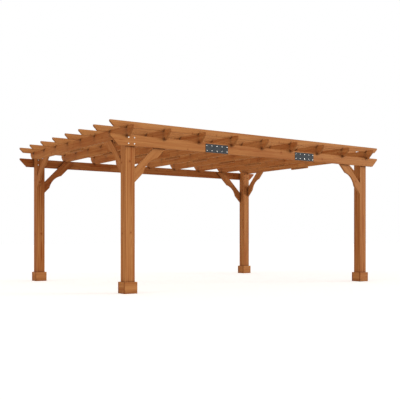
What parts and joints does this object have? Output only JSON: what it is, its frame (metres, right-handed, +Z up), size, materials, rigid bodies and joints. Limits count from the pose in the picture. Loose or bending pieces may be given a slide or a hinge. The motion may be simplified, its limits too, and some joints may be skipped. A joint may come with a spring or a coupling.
{
  "type": "garden pergola",
  "caption": "Free-standing timber pergola: square posts with foot boards, spliced beams, overhanging rafters and notched purlins with sloping ends, and scalloped knee braces.",
  "frame": {"origin": "on the ground, midway between the four posts", "axes": "+X along the beams, towards the right-hand posts; +Y along the rafters, towards the back; +Z up"},
  "size_m": [5.47, 3.915, 2.439],
  "materials": {
    "post_timber": "planed softwood with a clear warm brown stain, satin",
    "trim_timber": "planed softwood with a clear warm brown stain, satin",
    "beam_timber": "planed softwood with a clear warm brown stain, satin",
    "brace_timber": "planed softwood with a clear warm brown stain, satin",
    "rafter_timber": "planed softwood with a clear warm brown stain, satin",
    "purlin_timber": "planed softwood with a clear warm brown stain, satin",
    "splice_plate": "dark grey powder-coated steel, satin"
  },
  "bodies": {
    "root": {"back_beam_left": "beam_timber", "back_beam_middle": "beam_timber", "back_beam_right": "beam_timber", "back_splice_plate_left": "splice_plate", "back_splice_plate_right": "splice_plate", "beam_brace_back_left": "brace_timber", "beam_brace_back_right": "brace_timber", "beam_brace_front_left": "brace_timber", "beam_brace_front_right": "brace_timber", "foot_trim_back_left": "trim_timber", "foot_trim_back_right": "trim_timber", "foot_trim_front_left": "trim_timber", "foot_trim_front_right": "trim_timber", "front_beam_left": "beam_timber", "front_beam_middle": "beam_timber", "front_beam_right": "beam_timber", "front_splice_plate_left": "splice_plate", "front_splice_plate_right": "splice_plate", "post_back_left": "post_timber", "post_back_right": "post_timber", "post_front_left": "post_timber", "post_front_right": "post_timber", "purlin_1": "purlin_timber", "purlin_2": "purlin_timber", "purlin_3": "purlin_timber", "purlin_4": "purlin_timber", "purlin_5": "purlin_timber", "purlin_6": "purlin_timber", "purlin_7": "purlin_timber", "purlin_8": "purlin_timber", "rafter_1": "rafter_timber", "rafter_2": "rafter_timber", "rafter_3": "rafter_timber", "rafter_4": "rafter_timber", "rafter_5": "rafter_timber", "rafter_6": "rafter_timber", "rafter_7": "rafter_timber", "rafter_8": "rafter_timber", "rafter_9": "rafter_timber", "rafter_brace_back_left": "brace_timber", "rafter_brace_back_right": "brace_timber", "rafter_brace_front_left": "brace_timber", "rafter_brace_front_right": "brace_timber", "rafter_splice_blocks": "rafter_timber"}
  },
  "joints": []
}
